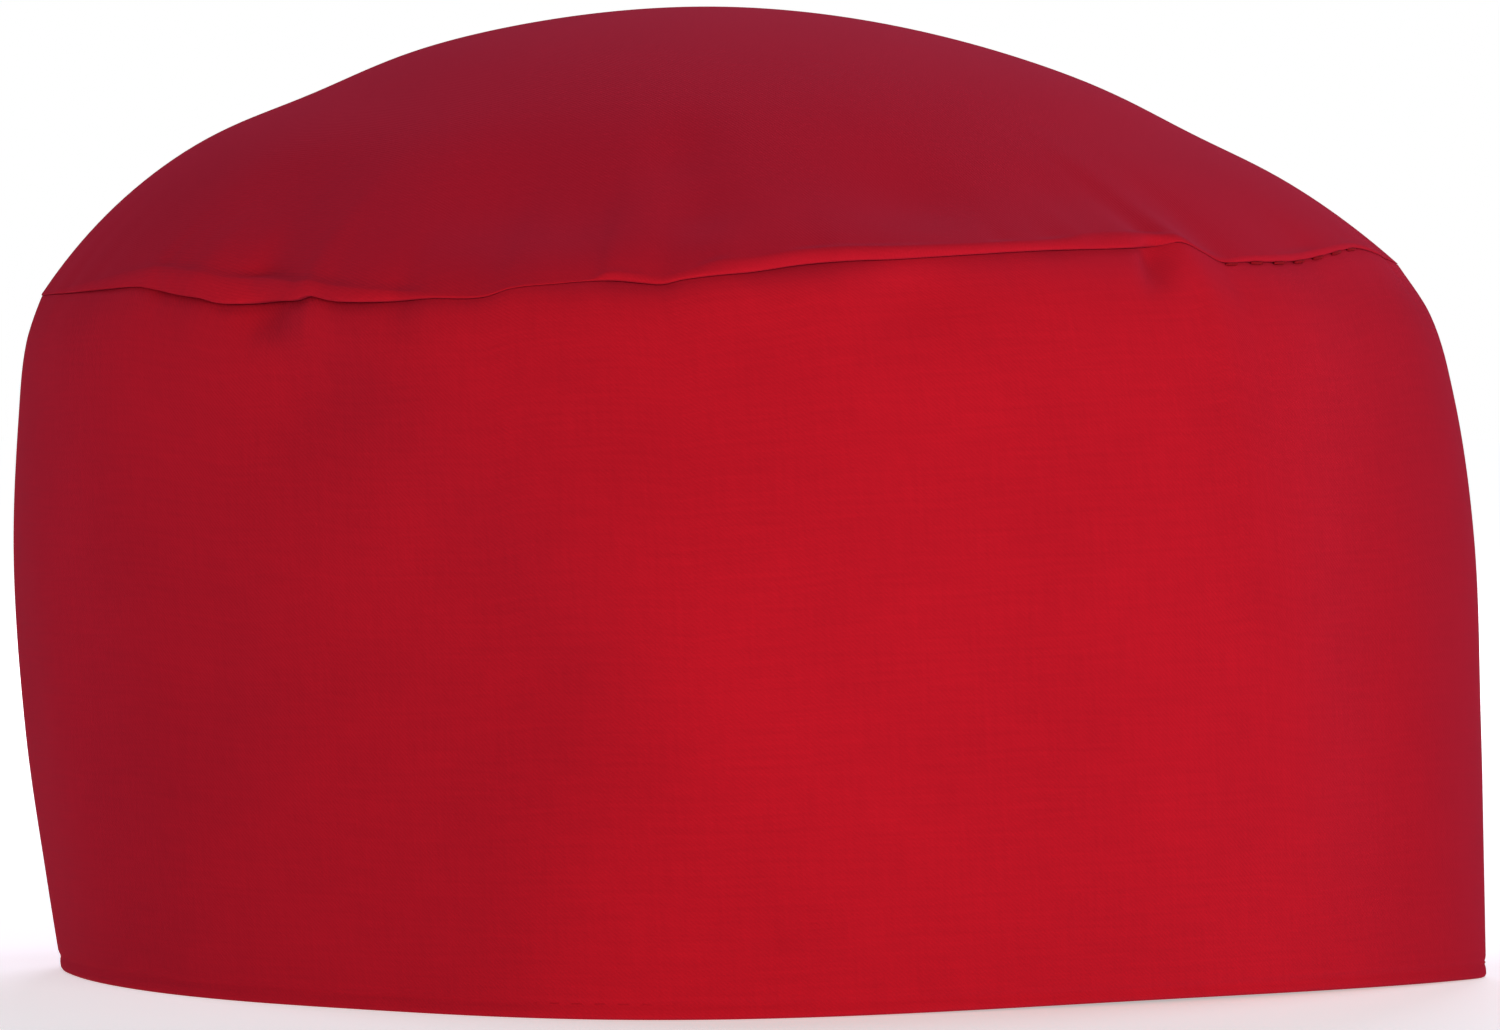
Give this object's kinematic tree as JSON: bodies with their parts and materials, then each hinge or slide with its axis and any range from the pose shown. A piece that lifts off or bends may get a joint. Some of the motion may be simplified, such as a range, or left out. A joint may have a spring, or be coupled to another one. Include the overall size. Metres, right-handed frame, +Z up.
{
  "type": "chef skull cap",
  "caption": "Low red twill chef's cap: an upright band with a turned hem and a domed crown rolled over the seam, open below for the head.",
  "frame": {"origin": "on the table, under the middle of the cap's box, at the height of the rim", "axes": "+X across the cap to the end with the sharper fold, -Y out of the front, +Z up through the crown"},
  "size_m": [0.2, 0.1786, 0.131],
  "materials": {
    "red_twill": "fine matt cotton and polyester twill"
  },
  "bodies": {
    "root": {"band": "red_twill", "crown": "red_twill"}
  },
  "joints": []
}
